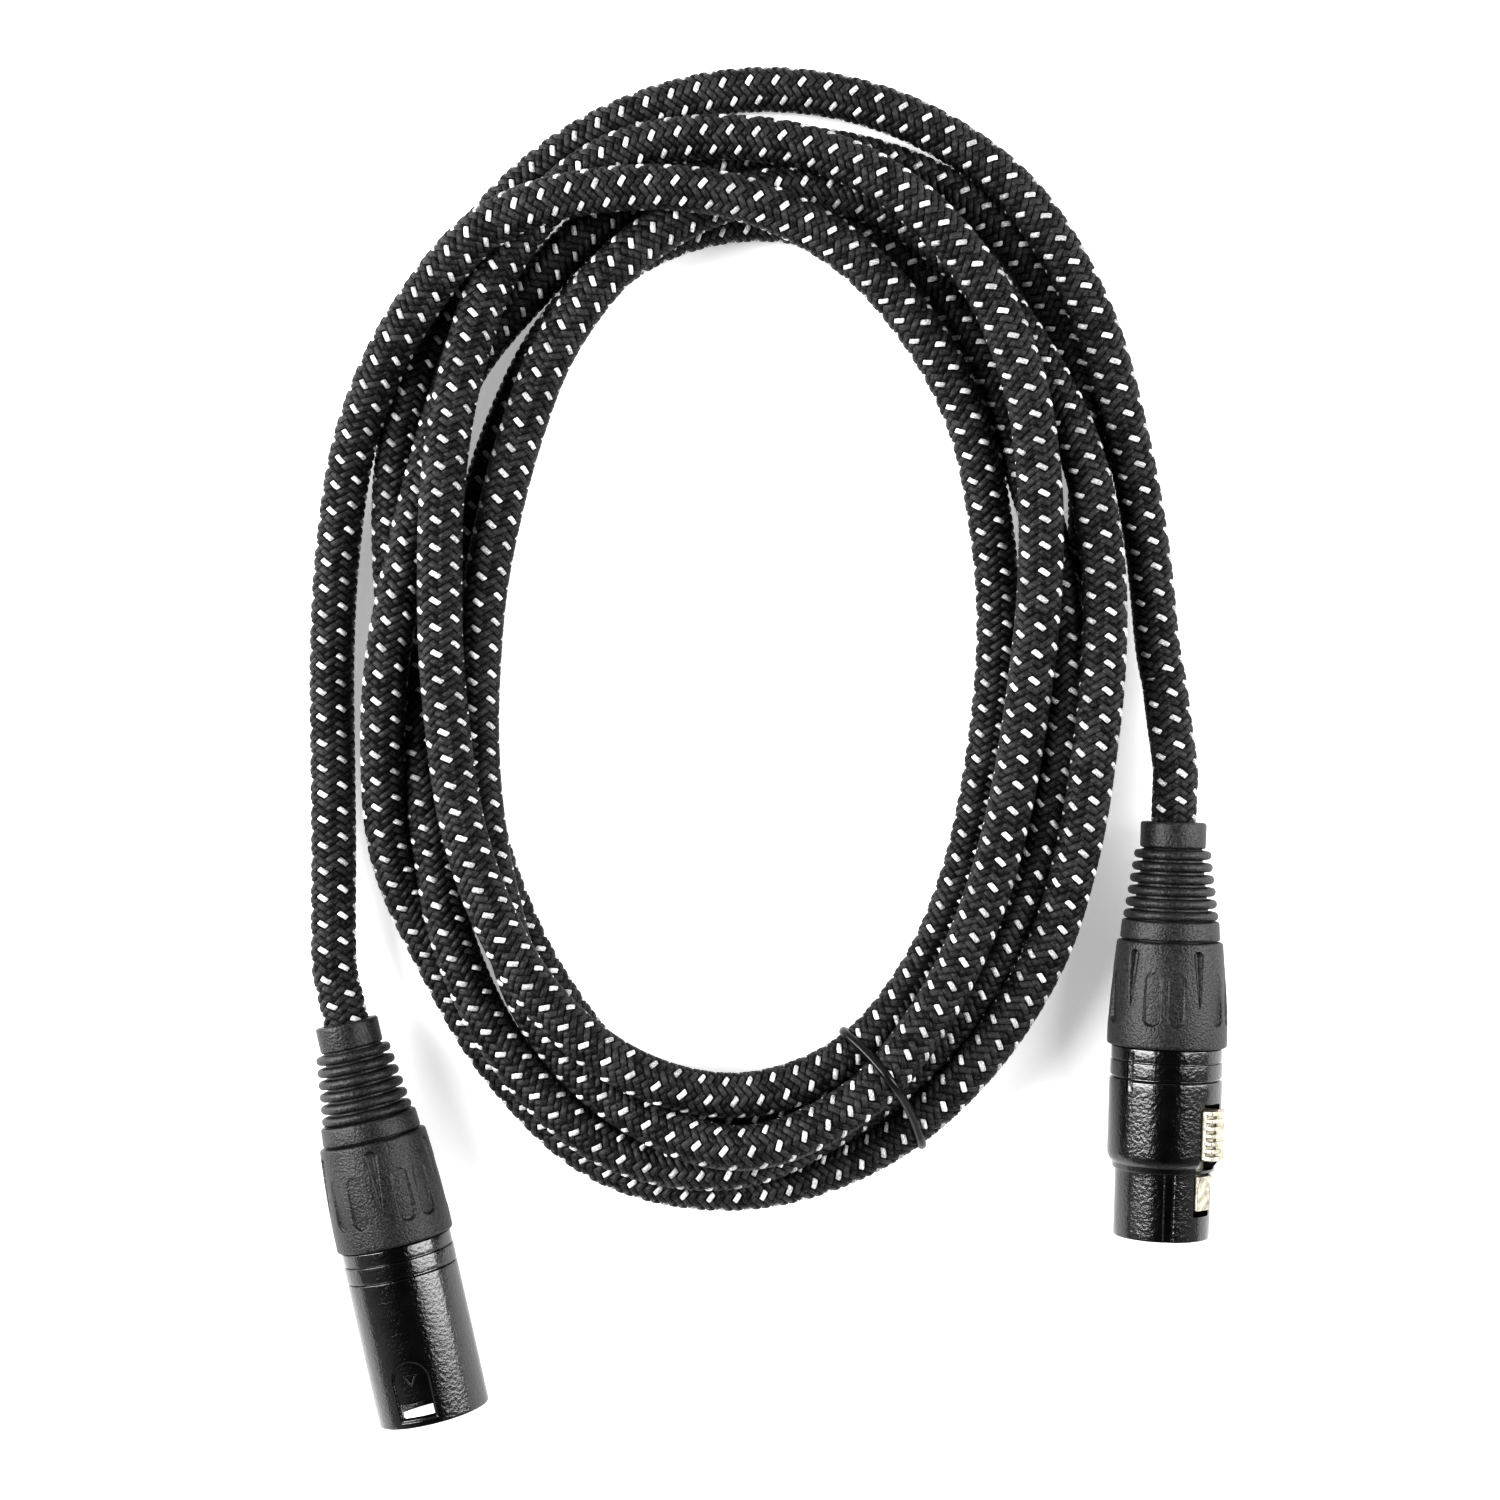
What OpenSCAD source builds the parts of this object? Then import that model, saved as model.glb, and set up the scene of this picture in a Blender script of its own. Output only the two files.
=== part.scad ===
// Balanced microphone cable, coiled flat and tied, with a male and a female
// three-contact circular plug. It lies on a surface, +Z up. The origin is the
// centre of the whole object's footprint, on the surface.

/* [Cable] */
// Outer diameter of the braided cable
cable_d = 7.66; // [7.6:0.01:7.68]
// Height of the coiled bundle
coil_h = 16.4; // [14:0.1:18]

/* [Tie] */
// Width of the tie's strap
tie_w = 2.2; // [1.8:0.1:3]
// Thickness of the tie's strap
tie_t = 1.0; // [0.8:0.1:1.4]
// Inside length of the tie's loop, across the bundle
tie_len = 23.6; // [23:0.1:26]

/* [Plugs] */
// Height of both plugs' axes above the surface
axis_h = 10.2; // [10.2:0.1:11]
// Radius of the bore that a boot slides on the cable with
boot_bore_r = 3.9; // [3.88:0.01:3.93]
// Radius of a shell's threaded neck
neck_r = 8.0; // [7.9:0.01:8.04]
// Radial running clearance between a neck and its sleeve
neck_gap = 0.08; // [0.05:0.01:0.1]
// Length from the cable entry to the male plug's mouth
male_len = 68; // [67:0.5:70]
// Length from the cable entry to the female plug's face
female_len = 70.2; // [69.7:0.1:72]

/* [Contacts] */
// Radius of the circle that the contacts stand on
contact_circle_r = 4.1; // [4:0.05:4.2]
// Radius of a male pin
pin_r = 1.18; // [1.15:0.01:1.2]
// Radius of a female contact's bore
socket_r = 1.25; // [1.22:0.01:1.28]

/* [Hidden] */

$fn = 64;
cable_r = cable_d / 2;

// The coil: centre of its hole, and the bundle's inner and outer edge every
// 15 degrees, counter-clockwise from +X.
coil_centre = [-4.7, 15.7];
coil_inner = [
    40, 41.5, 45, 51.5, 59, 67.5, 71, 67, 58.5, 49, 44, 41,
    40.5, 42.5, 47, 53, 60.5, 68, 71, 67, 58, 49.5, 44, 40.5
];
coil_outer = [
    66, 67.5, 73, 88, 96, 100, 100, 96.5, 89.5, 84, 71.5, 65,
    63.5, 66.5, 71.5, 77, 84, 92.5, 94.5, 91, 83.5, 76, 70, 66.5
];
coil_steps_between = 3;
coil_edge_r = 3.8;

// Where each cable enters its plug, and the plug's heading in the plane.
male_entry = [-71.5, -46.45];
male_heading = -77.3;
male_roll = 8;
female_entry = [68.9, -12.5];
female_heading = -91.8;
female_roll = 0;
latch_angle = -48;

// Stations along a plug, from the cable entry.
grip_start = 20;
sleeve_len = 18;
neck_len = 8;
shell_start = grip_start + sleeve_len;
ring_len = 5.5;
cable_end = 29;
pin_front = male_len - 4;
cavity_floor = 50;
pin_shank_r = pin_r + 0.17;

// Latch: rear pivot, travel path and windows, in its own radial plane.
latch_pivot_z = 45.5;
latch_pivot_u = 5.9;
latch_half_w = 1.9;
latch_pad_half_w = 2.4;

function unit2(a) = [cos(a), sin(a)];
function plug_point(entry, heading, s) =
    [entry[0] + s * cos(heading), entry[1] + s * sin(heading), axis_h];

// Cable routes from inside the plug to the edge of the coil.
male_route = [
    plug_point(male_entry, male_heading, cable_end),
    plug_point(male_entry, male_heading, 8),
    plug_point(male_entry, male_heading, 0),
    plug_point(male_entry, male_heading, -6),
    plug_point(male_entry, male_heading, -9),
    [-73.8, -31, 9.2], [-73.9, -20, 7.6], [-74.2, -9, 5.6], [-74.5, 2, 4.3], [-74.4, 14, 3.9],
    [-73.8, 26, 3.9], [-72.8, 40, 3.9], [-70.3, 53, 4.3], [-66.5, 64, 5.5]
];
female_route = [
    plug_point(female_entry, female_heading, cable_end),
    plug_point(female_entry, female_heading, 8),
    plug_point(female_entry, female_heading, 0),
    plug_point(female_entry, female_heading, -6),
    plug_point(female_entry, female_heading, -9),
    [68.2, 5, 9], [67.4, 12.5, 7.4], [66.3, 22, 5.4], [65.2, 33, 4.1], [63.6, 44, 3.9],
    [60.7, 55, 4.4], [57.5, 65, 5.5]
];

// Point on a smooth curve through four neighbours, at fraction t.
function smooth(a, b, c, d, t) =
    0.5 * (2 * b + (c - a) * t + (2 * a - 5 * b + 4 * c - d) * t * t
        + (3 * b - a - 3 * c + d) * t * t * t);
function at(list, i) = list[min(max(i, 0), len(list) - 1)];
function around(list, i) = list[(i + len(list)) % len(list)];

function route_path(route, per) = [
    for (i = [0 : len(route) - 2], k = [0 : per - 1])
        smooth(at(route, i - 1), route[i], route[i + 1], at(route, i + 2), k / per),
    route[len(route) - 1]
];

// A tube of n sides along a path, each ring square to the path. The path
// never runs along up.
module tube(path, r, n, up = [0, 0, 1]) {
    count = len(path);
    rings = [
        for (i = [0 : count - 1])
            let (t = at(path, i + 1) - at(path, i - 1), f = t / norm(t))
            let (side = cross(up, f), s = side / norm(side), u = cross(f, s))
            for (k = [0 : n - 1])
                path[i] + r * (cos(360 * k / n) * s + sin(360 * k / n) * u)
    ];
    walls = [
        for (i = [0 : count - 2], k = [0 : n - 1])
            [i * n + k, (i + 1) * n + k, (i + 1) * n + (k + 1) % n, i * n + (k + 1) % n]
    ];
    first = [for (k = [0 : n - 1]) k];
    last = [for (k = [n - 1 : -1 : 0]) (count - 1) * n + k];
    polyhedron(rings, concat([first], walls, [last]), convexity = 6);
}

// The bundle's section at one station: a box with rounded edges.
function bundle_section(inner, outer) = [
    for (c = [0 : 3], k = [0 : 2])
        let (a = 90 * c + 45 * k)
        let (x = (c == 0 || c == 3) ? outer - coil_edge_r : inner + coil_edge_r)
        let (z = (c < 2) ? coil_h - coil_edge_r : coil_edge_r)
        [x + coil_edge_r * cos(a), z + coil_edge_r * sin(a)]
];

module cable_coil() {
    stations = len(coil_inner);
    count = stations * coil_steps_between;
    sides = 12;
    points = [
        for (i = [0 : stations - 1], k = [0 : coil_steps_between - 1])
            let (t = k / coil_steps_between, a = 360 * (i + t) / stations)
            let (inner = smooth(around(coil_inner, i - 1), coil_inner[i],
                around(coil_inner, i + 1), around(coil_inner, i + 2), t))
            let (outer = smooth(around(coil_outer, i - 1), coil_outer[i],
                around(coil_outer, i + 1), around(coil_outer, i + 2), t))
            for (p = bundle_section(inner, outer))
                [coil_centre[0] + p[0] * cos(a), coil_centre[1] + p[0] * sin(a), p[1]]
    ];
    faces = [
        for (i = [0 : count - 1], k = [0 : sides - 1])
            let (j = (i + 1) % count, m = (k + 1) % sides)
            [i * sides + k, i * sides + m, j * sides + m, j * sides + k]
    ];
    color("#26262a") polyhedron(points, faces, convexity = 6);
}

module cable_tail_male() {
    color("#2b2b30") tube(route_path(male_route, 3), cable_r, 12);
}

module cable_tail_female() {
    color("#2b2b30") tube(route_path(female_route, 3), cable_r, 12);
}

module rounded_box_2d(length, height, r) {
    translate([r, 0]) square([length - 2 * r, height]);
    translate([0, r]) square([length, height - 2 * r]);
    for (x = [r, length - r], y = [r, height - r]) translate([x, y]) circle(r);
}

// A narrow nylon tie round the bundle, its head low on the outer side.
module cable_tie() {
    color("#1a1a1c")
    translate([19.4, -57.6, 0]) rotate([90, 0, -55.4])
    translate([-tie_len / 2 - tie_t, 0, -tie_w / 2]) {
        linear_extrude(tie_w) difference() {
            rounded_box_2d(tie_len + 2 * tie_t, coil_h + tie_t, 4.5);
            translate([tie_t, tie_t]) rounded_box_2d(tie_len, coil_h - tie_t, 3.5);
        }
        translate([tie_len + 1.4 * tie_t, 5, -0.9]) cube([2.6, 4.4, tie_w + 1.8]);
    }
}

// Puts a plug's own frame in place: its Z runs to the mouth and its X faces up.
module male_plug() {
    translate([male_entry[0], male_entry[1], axis_h])
        rotate([0, -90, male_heading + 180]) children();
}

module female_plug() {
    translate([female_entry[0], female_entry[1], axis_h])
        rotate([0, -90, female_heading + 180]) children();
}

// A bored cylinder between two stations.
module ring(z0, z1, r_out, r_in) {
    difference() {
        translate([0, 0, z0]) cylinder(r = r_out, h = z1 - z0);
        translate([0, 0, z0 - 1]) cylinder(r = r_in, h = z1 - z0 + 2);
    }
}

// Flexible boot: end collar, six bellows rings, lower collar and a plain tail
// that sits inside the sleeve.
module boot(collar_r, first_ring_r, last_ring_r, lower_r) {
    ring_pitch = 2.05;
    color("#1c1c1e") rotate_extrude() difference() {
        union() {
            translate([0, 0]) square([collar_r, 4.3]);
            square([collar_r - 0.2, 17.2]);
            translate([0, 4]) polygon([[0, 0], [first_ring_r - 1.3, 0], [last_ring_r - 1.3, 12.6], [0, 12.6]]);
            for (i = [0 : 5])
                translate([first_ring_r - 0.8 + i * (last_ring_r - first_ring_r) / 5, 5.5 + i * ring_pitch])
                    circle(0.8);
            translate([0, 16.6]) square([lower_r, grip_start - 16.6 - 0.15]);
            translate([0, 16.6]) square([6.9, 6]);
        }
        translate([-1, -1]) square([boot_bore_r + 1, 30]);
    }
}

// A round-ended slot cutter that points outwards along X.
module slot_cutter(length, width, reach) {
    rotate([0, 90, 0]) linear_extrude(reach) {
        translate([-length, -width / 2]) square([length, width]);
        circle(width / 2);
        translate([-length, 0]) circle(width / 2);
    }
}

// Screw sleeve: tapered, with five groups of one long groove and two slots.
module sleeve(small_r, wide_r) {
    z0 = grip_start + 0.15;
    z1 = grip_start + sleeve_len - 0.15;
    color("#222225") difference() {
        rotate_extrude() polygon([
            [7.0, z0], [small_r - 0.5, z0], [small_r, z0 + 0.6], [wide_r, z1 - 4], [wide_r, z1 - 1.2],
            [wide_r - 0.5, z1], [neck_r + neck_gap, z1], [neck_r + neck_gap, z1 - neck_len - 0.6],
            [7.0, z1 - neck_len - 1.4]
        ]);
        for (i = [0 : 4]) rotate(72 * i) {
            translate([small_r - 0.2, 0, z0 + 2.2]) slot_cutter(8, 1.6, 4);
            rotate(26) translate([wide_r - 0.5, 0, z0 + 7]) slot_cutter(7, 1.8, 4);
            rotate(46) translate([wide_r - 0.5, 0, z0 + 7]) slot_cutter(7, 1.8, 4);
        }
    }
}

// Split clamp that grips the cable inside the sleeve.
module chuck() {
    color("#3a3a3e") difference() {
        rotate_extrude() polygon([[cable_r, 23], [5.6, 23], [6.7, 25], [6.7, 29.6], [cable_r, 29.6]]);
        for (a = [0, 120, 240]) rotate(a + 30) translate([4.4, -0.4, 22]) cube([5, 0.8, 5]);
    }
}

// The turned rings behind a shell's barrel, with two fine grooves.
module shell_rings(r) {
    z = shell_start;
    translate([0, 0, z]) cylinder(r = r - 0.1, h = 2.1);
    translate([0, 0, z + 2.0]) cylinder(r = r - 0.45, h = 0.5);
    translate([0, 0, z + 2.4]) cylinder(r = r, h = 2.5);
    translate([0, 0, z + 4.8]) cylinder(r = r - 0.4, h = ring_len - 4.7);
}

module male_shell() {
    barrel_r = 9.45;
    window_w = 6.2;
    window_start = male_len - 4.1;
    arch_len = 3.7;
    color("#0c0c0e") male_plug() difference() {
        union() {
            translate([0, 0, shell_start - neck_len]) cylinder(r = neck_r, h = neck_len + 0.1);
            shell_rings(barrel_r);
            translate([0, 0, shell_start + ring_len]) cylinder(r = barrel_r, h = male_len - shell_start - ring_len);
        }
        translate([0, 0, cavity_floor]) cylinder(r = 8.2, h = male_len);
        translate([0, 0, shell_start - neck_len - 1]) cylinder(r = 7.2, h = male_len);
        rotate(male_roll) {
            translate([9.15, 0, window_start - arch_len]) rotate([0, 90, 0]) cylinder(r = window_w / 2, h = 4);
            translate([9.15, -window_w / 2, window_start - arch_len]) cube([4, window_w, arch_len + 1]);
            translate([4, -window_w / 2, window_start]) cube([8, window_w, 2.5]);
        }
    }
}

module insert_body(z0, z1, r) {
    translate([0, 0, z0]) cylinder(r = r, h = z1 - z0);
}

// Contact k's place: two either side of the latch line, one opposite it.
module at_contact(k, latch_line) {
    rotate(latch_line + [60, -60, 180][k - 1]) translate([contact_circle_r, 0, 0]) children();
}

module male_insert() {
    color("#111114") male_plug() difference() {
        insert_body(shell_start + 1, cavity_floor, 7.2);
        for (k = [1 : 3]) at_contact(k, male_roll)
            translate([0, 0, shell_start]) cylinder(r = pin_shank_r, h = 20);
    }
}

module male_pin(k) {
    color("#d8d9dc") male_plug() at_contact(k, male_roll) difference() {
        union() {
            translate([0, 0, shell_start - 0.5]) cylinder(r = pin_shank_r, h = cavity_floor - shell_start + 0.5);
            translate([0, 0, cavity_floor]) cylinder(r = pin_r, h = pin_front - cavity_floor - 0.6);
            translate([0, 0, pin_front - 0.6]) cylinder(r1 = pin_r, r2 = 0.5, h = 0.6);
            translate([0, 0, shell_start - 5]) cylinder(r = 1.5, h = 5.6);
        }
        translate([0, 0, shell_start - 6]) cylinder(r = 1.05, h = 4.5);
    }
}

// One insulated conductor from the cut end of the cable to a solder cup.
module wire_to(k, latch_line, tint) {
    a = latch_line + [60, -60, 180][k - 1];
    start = [1.5 * cos(a), 1.5 * sin(a), cable_end];
    end = [contact_circle_r * cos(a), contact_circle_r * sin(a), shell_start - 3.4];
    color(tint) tube([start, start + [0, 0, 1], [start[0] * 1.9, start[1] * 1.9, cable_end + 3],
        end - [0, 0, 1.4], end], 0.75, 8, [-sin(a), cos(a), 0]);
}

module female_shell() {
    body_r = 9.52;
    nose_r = 8.08;
    body_end = 56.8;
    color("#0c0c0e") female_plug() difference() {
        union() {
            translate([0, 0, shell_start - neck_len]) cylinder(r = neck_r, h = neck_len + 0.1);
            shell_rings(body_r - 0.1);
            translate([0, 0, shell_start + ring_len]) cylinder(r = body_r, h = body_end - shell_start - ring_len);
            translate([0, 0, body_end]) cylinder(r1 = body_r, r2 = nose_r + 0.5, h = 1.2);
            translate([0, 0, body_end]) cylinder(r = nose_r, h = female_len - body_end);
        }
        translate([0, 0, shell_start - neck_len - 1]) cylinder(r = 7.3, h = female_len);
        rotate(latch_angle) {
            translate([6.4, -2.7, 47.0]) cube([8, 5.4, 11.15]);
            translate([6.4, -2.2, 58.8]) cube([8, 4.4, 7.2]);
        }
        translate([nose_r - 0.45, -0.9, body_end + 1.3]) cube([3, 1.8, 20]);
    }
}

module female_insert() {
    color("#131316") female_plug() difference() {
        insert_body(shell_start + 2, female_len - 0.5, 7.3);
        for (k = [1 : 3]) at_contact(k, latch_angle)
            translate([0, 0, shell_start]) cylinder(r = 1.65, h = 50);
        rotate(latch_angle) {
            translate([3.8, -latch_half_w - 0.25, 43.6]) cube([8, 2 * latch_half_w + 0.5, 24.6]);
            translate([5.2, -latch_pad_half_w - 0.3, 47.3]) cube([8, 2 * latch_pad_half_w + 0.6, 10]);
            translate([latch_pivot_u, 4, latch_pivot_z]) rotate([90, 0, 0]) cylinder(r = 0.5, h = 8);
        }
    }
}

module female_contact(k) {
    color("#d9c27a") female_plug() at_contact(k, latch_angle) difference() {
        translate([0, 0, shell_start - 5]) cylinder(r = 1.65, h = female_len - 0.5 - shell_start + 5);
        translate([0, 0, 50]) cylinder(r = socket_r, h = 40);
        translate([0, 0, shell_start - 6]) cylinder(r = 1.05, h = 4.5);
    }
}

// Latch: a rear hub on its pin, a bar under the shell, a ribbed push pad that
// stands out of the body, and a catch in the nose's window.
module latch_lever() {
    bar_top = latch_pivot_u + 1;
    color("#c8b084") female_plug() rotate(latch_angle) difference() {
        union() {
            translate([latch_pivot_u, 0.9, latch_pivot_z]) rotate([90, 0, 0]) cylinder(r = 1, h = 0.9 + latch_half_w);
            translate([latch_pivot_u, -latch_half_w, latch_pivot_z]) cube([1, 0.9 + latch_half_w, 4]);
            translate([latch_pivot_u, -latch_half_w, 47.6]) cube([1, 2 * latch_half_w, 17.6]);
            translate([bar_top - 0.1, -latch_pad_half_w, 47.9]) cube([3.6, 2 * latch_pad_half_w, 8.4]);
            for (i = [0 : 6])
                translate([bar_top + 3.4, -latch_pad_half_w, 47.9 + 1.27 * i]) cube([0.8, 2 * latch_pad_half_w, 0.75]);
            translate([bar_top - 0.1, -latch_half_w, 59.1]) cube([1.5, 2 * latch_half_w, 5.9]);
        }
        translate([latch_pivot_u, 5, latch_pivot_z]) rotate([90, 0, 0]) cylinder(r = 0.55, h = 10);
    }
}

module latch_pin() {
    color("#b9bcc2") female_plug() rotate(latch_angle)
        translate([latch_pivot_u, 3.2, latch_pivot_z]) rotate([90, 0, 0]) cylinder(r = 0.5, h = 6.4);
}

// Torsion spring round the pin, beside the lever's hub.
module latch_spring() {
    color("#9ea3aa") female_plug() rotate(latch_angle) difference() {
        translate([latch_pivot_u, 1.95, latch_pivot_z]) rotate([90, 0, 0]) cylinder(r = 0.95, h = 0.95);
        translate([latch_pivot_u, 3, latch_pivot_z]) rotate([90, 0, 0]) cylinder(r = 0.56, h = 3);
    }
}

cable_coil();
cable_tail_male();
cable_tail_female();
cable_tie();
male_plug() boot(5.35, 6.4, 7.7, 8.4);  // male_boot
male_plug() sleeve(9.1, 9.95);  // male_sleeve
male_shell();
male_insert();
male_plug() chuck();  // male_chuck
male_pin(1);  // male_pin_1
male_pin(2);  // male_pin_2
male_pin(3);  // male_pin_3
male_plug() wire_to(1, male_roll, "#8d8f94");  // male_wire_1
male_plug() wire_to(2, male_roll, "#a8262a");  // male_wire_2
male_plug() wire_to(3, male_roll, "#e6e6e6");  // male_wire_3
female_plug() boot(5.55, 6.5, 8.0, 8.45);  // female_boot
female_plug() rotate(female_roll) sleeve(8.9, 10.1);  // female_sleeve
female_shell();
female_insert();
female_plug() chuck();  // female_chuck
female_contact(1);  // female_contact_1
female_contact(2);  // female_contact_2
female_contact(3);  // female_contact_3
female_plug() wire_to(1, latch_angle, "#8d8f94");  // female_wire_1
female_plug() wire_to(2, latch_angle, "#a8262a");  // female_wire_2
female_plug() wire_to(3, latch_angle, "#e6e6e6");  // female_wire_3
latch_lever();
latch_pin();
latch_spring();
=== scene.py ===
"""Coiled microphone cable with a male and a female circular plug, tied once.

Lengths are in mm and angles in degrees, and Blender's metres come from MM.
A plug's own frame has Z towards its mouth and X facing up.
"""

import math

import bmesh
import bpy
import numpy as np
from mathutils import Matrix, Vector


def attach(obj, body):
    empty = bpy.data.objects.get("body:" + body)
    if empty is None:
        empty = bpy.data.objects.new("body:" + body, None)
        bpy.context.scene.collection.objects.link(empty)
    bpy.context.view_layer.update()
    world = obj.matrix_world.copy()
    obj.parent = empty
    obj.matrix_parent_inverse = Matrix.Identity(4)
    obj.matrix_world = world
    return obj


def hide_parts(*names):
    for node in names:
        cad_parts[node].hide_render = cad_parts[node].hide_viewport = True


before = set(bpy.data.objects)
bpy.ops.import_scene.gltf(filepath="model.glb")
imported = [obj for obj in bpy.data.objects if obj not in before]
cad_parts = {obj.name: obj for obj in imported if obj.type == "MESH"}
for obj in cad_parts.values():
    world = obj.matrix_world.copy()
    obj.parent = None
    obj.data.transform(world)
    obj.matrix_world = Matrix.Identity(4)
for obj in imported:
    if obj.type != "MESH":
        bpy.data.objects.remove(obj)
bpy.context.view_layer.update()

MM = 0.001

# ---------------------------------------------------------------- camera

# The camera looks straight down from this height over this point.
VIEW_POINT = (-3.0, -0.3)
VIEW_HEIGHT = 500.0
VIEW_ANGLE = 29.13
NEAREST_SEEN = 10.0


def add_camera():
    """The one camera, straight above the object."""
    data = bpy.data.cameras.new("camera")
    data.sensor_fit = "HORIZONTAL"
    data.angle = math.radians(VIEW_ANGLE)
    data.clip_start = NEAREST_SEEN * MM
    camera = bpy.data.objects.new("camera", data)
    camera.location = (VIEW_POINT[0] * MM, VIEW_POINT[1] * MM, VIEW_HEIGHT * MM)
    bpy.context.scene.collection.objects.link(camera)
    bpy.context.scene.camera = camera


add_camera()

# ---------------------------------------------------------------- cable route

CABLE_D = 7.66
CABLE_R = CABLE_D / 2
# Height of both plugs' axes, and how far the cable runs into a plug.
AXIS_H = 10.2
CABLE_END = 29
MALE_ENTRY = (-71.5, -46.45)
MALE_HEADING = -77.3
FEMALE_ENTRY = (68.9, -12.5)
FEMALE_HEADING = -91.8
COIL_CENTRE = (-4.7, 15.7)
TIE_CENTRE = (19.4, -57.6)
STEP = 2.0

# Radius of each turn from the coil's centre. A turn starts at 210 degrees and
# has a value every 15 degrees clockwise. The turns follow one another.
TURNS = (
    (80, 71.9, 69.6, 71, 75.5, 80.5, 85, 82.5, 78, 71.5, 63, 55.5,
     49, 45.5, 44, 44.5, 47.5, 53.5, 62, 71, 75, 73, 67.5, 60.5),
    (55, 51.5, 51, 53, 58.5, 67.5, 79.5, 88, 88.5, 85.5, 78, 68,
     59, 53, 50, 50, 53, 59, 68, 78.5, 84, 79, 70, 58.5),
    (51, 46.5, 44.5, 45, 47.5, 53, 62, 71.5, 78.5, 81, 77, 71.5,
     67.5, 64, 62, 62.5, 66.5, 73.2, 80.1, 87.2, 90.8, 89.3, 81, 73),
    (68.5, 63, 60, 59, 61.5, 67.5, 72, 79.5, 86, 87.5, 85.5, 78,
     68.5, 61.5, 57.5, 56, 57, 61, 67, 73, 77.8, 74.5, 65, 57),
    (51.5, 48.5, 47.5, 48.5, 51, 56, 63.5, 71, 74.5, 74, 69.5, 62.5,
     57.5, 55.5, 55.5, 57, 60, 65, 72.5, 79.5, 87, 86.5, 78.5, 69),
    (60.5, 57, 57.5, 61, 67.5, 76, 85.5, 92.5, 96.5, 96.5, 92.5, 84,
     76, 71.9, 71.3),
)
FIRST_ANGLE = 210
STATION = 15
# Strands closer than this touch, and points less than a minimum apart along
# the cable are neighbours instead.
TOUCH_D = 7.45
NEIGHBOUR_LENGTH = 60
# The length at each plug that keeps the heights of its route points.
HELD_MALE = 60
HELD_FEMALE = 56
# Height that the radii were read at.
MEAN_H = 8.0
CURVE_STEPS = 24
# The cable settles in rounds: it is smoothed, sinks and stays on what is below.
SETTLE_ROUNDS = 400
SETTLE_WIDTH = 7.0
SINK = 0.12
TIE_SINK = 0.9
TIE_SINK_REACH = 11
TIE_LIFT = 1
TIE_LIFT_REACH = 16
LAST_ROUNDS = 3
LAST_WIDTH = 4.0
LEAN_WIDTH = 12.0
LINE_WIDTH = 3.0
ROUTE_STEP = 1.0


def plug_point(entry, heading, along):
    """A point on a plug's axis, that far from the cable's entry."""
    a = math.radians(heading)
    return (entry[0] + along * math.cos(a), entry[1] + along * math.sin(a), AXIS_H)


def plug_run(entry, heading):
    """The straight start of the cable, from inside a plug outwards."""
    return [plug_point(entry, heading, s) for s in (CABLE_END, 8, 0, -6, -9)]


MALE_ROUTE = plug_run(MALE_ENTRY, MALE_HEADING) + [(-73.8, -31, 9.2), (-73.9, -20, 7.6)]
FEMALE_ROUTE = plug_run(FEMALE_ENTRY, FEMALE_HEADING) + [(68.2, 5, 9), (67.4, 12.5, 7.4)]


def smooth_curve(points, per):
    """A curve through all the points, in per steps between two of them."""
    points = np.array(points, float)
    out = []
    for i in range(len(points) - 1):
        a = points[max(i - 1, 0)]
        b = points[i]
        c = points[i + 1]
        d = points[min(i + 2, len(points) - 1)]
        for k in range(per):
            t = k / per
            out.append(0.5 * (2 * b + (c - a) * t + (2 * a - 5 * b + 4 * c - d) * t * t
                              + (3 * b - a - 3 * c + d) * t**3))
    out.append(points[-1])
    return np.array(out)


def evenly(points, step):
    """The same line with its points a step apart."""
    along = np.concatenate([[0], np.cumsum(np.linalg.norm(np.diff(points, axis=0), axis=1))])
    count = int(round(along[-1] / step)) + 1
    want = np.linspace(0, along[-1], count)
    return np.column_stack([np.interp(want, along, points[:, k]) for k in range(3)])


def softened(values, width):
    """Values averaged along the line, over width in mm."""
    reach = int(3 * width / STEP)
    weight = np.exp(-0.5 * (np.arange(-reach, reach + 1) * STEP / width) ** 2)
    return np.convolve(np.pad(values, reach, mode="edge"), weight / weight.sum(), mode="valid")


def upper_turn(low, high, angle):
    """Which of two turns that meet at that clock angle lies on the other."""
    if (low, high) == (0, 1) and (angle < 35 or angle > 276):
        return high
    if (low, high) == (2, 4) and 210 < angle < 286:
        return high
    if (low, high) == (3, 4):
        return high
    if (low, high) == (3, 5) and not 133 < angle < 206:
        return high
    return low


def flat_route():
    """The cable's line before it is laid: plug, turns, plug."""
    points = list(MALE_ROUTE)
    for j, radii in enumerate(TURNS):
        for k, radius in enumerate(radii):
            if (j, k) == (0, 0):
                continue
            a = math.radians(FIRST_ANGLE - STATION * k)
            points.append((COIL_CENTRE[0] + radius * math.cos(a),
                           COIL_CENTRE[1] + radius * math.sin(a), CABLE_R))
    points += FEMALE_ROUTE[::-1]
    return evenly(smooth_curve(points, CURVE_STEPS), STEP)


def turn_numbers(line):
    """How many turns from the first angle, clockwise, each point has gone."""
    angle = np.unwrap(np.arctan2(line[:, 1] - COIL_CENTRE[1], line[:, 0] - COIL_CENTRE[0]))
    start = math.degrees(angle[0]) % 360
    return (FIRST_ANGLE - start - np.degrees(angle - angle[0])) / 360


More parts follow.
